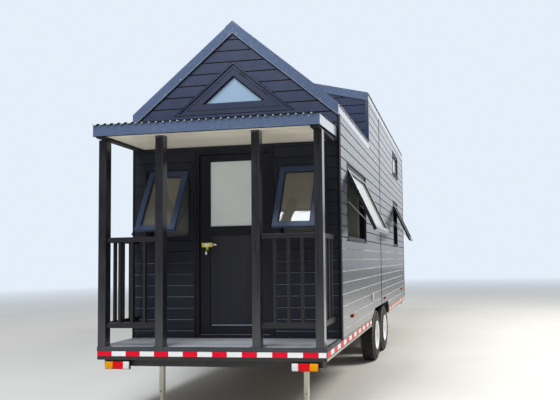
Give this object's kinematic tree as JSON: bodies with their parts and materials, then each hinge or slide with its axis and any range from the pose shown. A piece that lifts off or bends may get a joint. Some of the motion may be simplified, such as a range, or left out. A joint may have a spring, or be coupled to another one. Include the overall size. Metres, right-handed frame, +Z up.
{
  "type": "tiny house on wheels",
  "caption": "Small gabled house with shed dormers, a railed front porch and open top-hung windows, built on a tandem-axle trailer with corner jacks and a drawbar.",
  "frame": {"origin": "middle of the footprint, on the ground", "axes": "+Z up, +Y from the porch towards the drawbar, +X to the right seen from in front of the porch"},
  "size_m": [3.0864, 8.976, 4.3027],
  "materials": {
    "siding": "satin dark grey lap boards",
    "roofing": "satin dark grey corrugated sheet",
    "trim": "satin blue-grey folded sheet",
    "timber": "dark painted timber",
    "decking": "grey deck boards",
    "ceiling": "clear finished boards",
    "flooring": "plain floor boards",
    "chassis": "black paint",
    "galvanised": "galvanised steel",
    "rubber": "matt black rubber",
    "wheel_steel": "silver",
    "lamp": "clear lens",
    "window_metal": "satin dark blue-grey",
    "glass": "clear",
    "steel": "satin"
  },
  "bodies": {
    "house": {"perimeter_rails": "chassis", "main_beams": "chassis", "crossmembers": "chassis", "drawbar": "chassis", "coupler": "galvanised", "axles": "chassis", "leaf_springs": "chassis", "jack_tubes": "galvanised", "tail_lights": "lamp", "floor": "flooring", "porch_deck": "decking", "wheel_wells": "chassis", "front_gable": "siding", "end_wall": "siding", "dormer_cheeks": "siding", "ridge_cap": "roofing", "rake_boards": "trim", "eave_fascias": "trim", "dormer_rakes": "trim", "porch_roof": "roofing", "porch_ceiling": "ceiling", "porch_fascia": "trim", "porch_posts": "timber", "door_frame": "window_metal", "window_frames_front": "window_metal", "window_frames_left": "window_metal", "window_frames_right": "window_metal", "window_sashes": "window_metal", "window_stays": "steel", "window_glass": "glass", "front_wall_left": "siding", "side_wall_front_left": "siding", "side_wall_rear_left": "siding", "main_roof_left": "roofing", "dormer_roof_left": "roofing", "side_railing_left": "timber", "front_railing_left": "timber", "front_wall_right": "siding", "side_wall_front_right": "siding", "side_wall_rear_right": "siding", "main_roof_right": "roofing", "dormer_roof_right": "roofing", "side_railing_right": "timber", "front_railing_right": "timber"},
    "front_door": {"door_leaf": "window_metal", "door_glass": "glass", "door_lock": "steel"},
    "door_lever": {"door_handle": "steel"},
    "wheel_front_left": {"tyre_front_left": "rubber", "rim_front_left": "wheel_steel"},
    "jack_front_left": {"jack_leg_front_left": "galvanised"},
    "wheel_front_right": {"tyre_front_right": "rubber", "rim_front_right": "wheel_steel"},
    "jack_front_right": {"jack_leg_front_right": "galvanised"},
    "wheel_back_left": {"tyre_back_left": "rubber", "rim_back_left": "wheel_steel"},
    "jack_back_left": {"jack_leg_back_left": "galvanised"},
    "wheel_back_right": {"tyre_back_right": "rubber", "rim_back_right": "wheel_steel"},
    "jack_back_right": {"jack_leg_back_right": "galvanised"}
  },
  "joints": [
    {"name": "front_door_swing", "type": "hinge", "parent": "house", "child": "front_door", "pos_m": [0.409, -3.651, 1.725], "axis": [0, 0, -1], "range_deg": [0, 90]},
    {"name": "door_lever_turn", "type": "hinge", "parent": "front_door", "child": "door_lever", "pos_m": [-0.333, -3.68, 1.758], "axis": [0, 1, 0], "range_deg": [0, 40], "stiffness_Nm_per_rad": 2},
    {"name": "wheel_front_left_spin", "type": "hinge", "parent": "house", "child": "wheel_front_left", "pos_m": [-1.0775, -0.942, 0.38], "axis": [1, 0, 0], "continuous": true},
    {"name": "jack_front_left_slide", "type": "slide", "parent": "house", "child": "jack_front_left", "axis": [0, 0, 1], "range_m": [0, 0.1]},
    {"name": "wheel_front_right_spin", "type": "hinge", "parent": "house", "child": "wheel_front_right", "pos_m": [1.0775, -0.942, 0.38], "axis": [1, 0, 0], "continuous": true},
    {"name": "jack_front_right_slide", "type": "slide", "parent": "house", "child": "jack_front_right", "axis": [0, 0, 1], "range_m": [0, 0.1]},
    {"name": "wheel_back_left_spin", "type": "hinge", "parent": "house", "child": "wheel_back_left", "pos_m": [-1.0775, -0.032, 0.38], "axis": [1, 0, 0], "continuous": true},
    {"name": "jack_back_left_slide", "type": "slide", "parent": "house", "child": "jack_back_left", "axis": [0, 0, 1], "range_m": [0, 0.1]},
    {"name": "wheel_back_right_spin", "type": "hinge", "parent": "house", "child": "wheel_back_right", "pos_m": [1.0775, -0.032, 0.38], "axis": [1, 0, 0], "continuous": true},
    {"name": "jack_back_right_slide", "type": "slide", "parent": "house", "child": "jack_back_right", "axis": [0, 0, 1], "range_m": [0, 0.1]}
  ]
}
